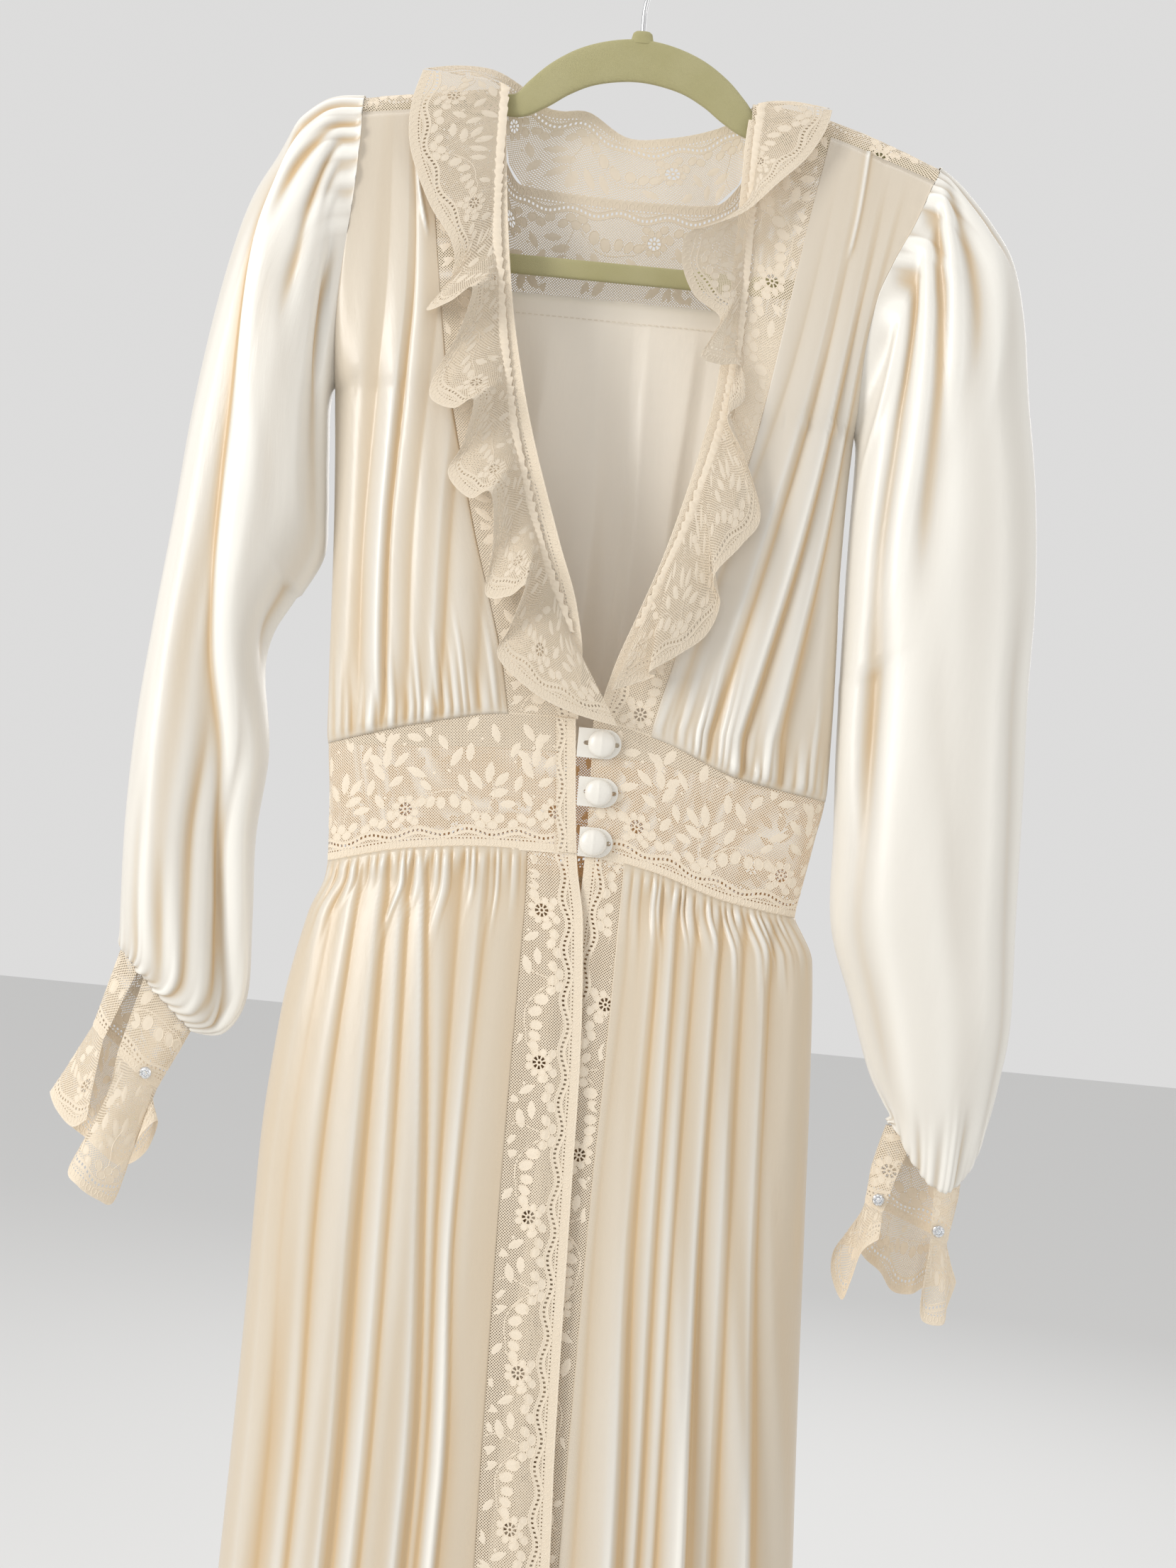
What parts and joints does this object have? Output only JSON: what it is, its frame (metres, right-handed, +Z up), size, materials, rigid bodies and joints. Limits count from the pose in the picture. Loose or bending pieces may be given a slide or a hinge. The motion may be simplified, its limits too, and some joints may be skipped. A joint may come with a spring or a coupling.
{
  "type": "dressing gown on a clothes hanger",
  "caption": "Long satin dressing gown with lace yoke, ruffled neck, lace waistband, full gathered sleeves and split cuffs, hung on a velvet hanger with a wire hook.",
  "frame": {"origin": "inside top of the hook's bend, where a rail carries it", "axes": "+Z up along the gown's plumb line, +X to the right as seen from the front, -Y out of the front of the gown"},
  "size_m": [0.6395, 0.1584, 1.4635],
  "materials": {
    "satin": "smooth lustrous ivory satin",
    "lace": "beige net lace with raised leaf and flower motifs",
    "velvet": "short sage-green velvet nap",
    "chrome": "polished wire",
    "stone": "clear faceted stone"
  },
  "bodies": {
    "root": {"bodice_front_left": "satin", "bodice_front_right": "satin", "bodice_back": "satin", "skirt_front_left": "satin", "skirt_front_right": "satin", "skirt_back": "satin", "sleeve_left": "satin", "sleeve_right": "satin", "button_top": "satin", "button_middle": "satin", "button_bottom": "satin", "loop_top": "satin", "loop_middle": "satin", "loop_bottom": "satin", "back_yoke": "lace", "collar_back": "lace", "ruffle_left": "lace", "ruffle_right": "lace", "front_band_left": "lace", "front_band_right": "lace", "shoulder_strip_left": "lace", "shoulder_strip_right": "lace", "waistband_front_left": "lace", "waistband_front_right": "lace", "waistband_back": "lace", "skirt_band_left": "lace", "skirt_band_right": "lace", "cuff_left": "lace", "cuff_right": "lace", "flounce_left": "lace", "flounce_right": "lace", "stud_left": "stone", "stud_right_inner": "stone", "stud_right_outer": "stone", "hanger_body": "velvet", "hanger_hook": "chrome"}
  },
  "joints": []
}
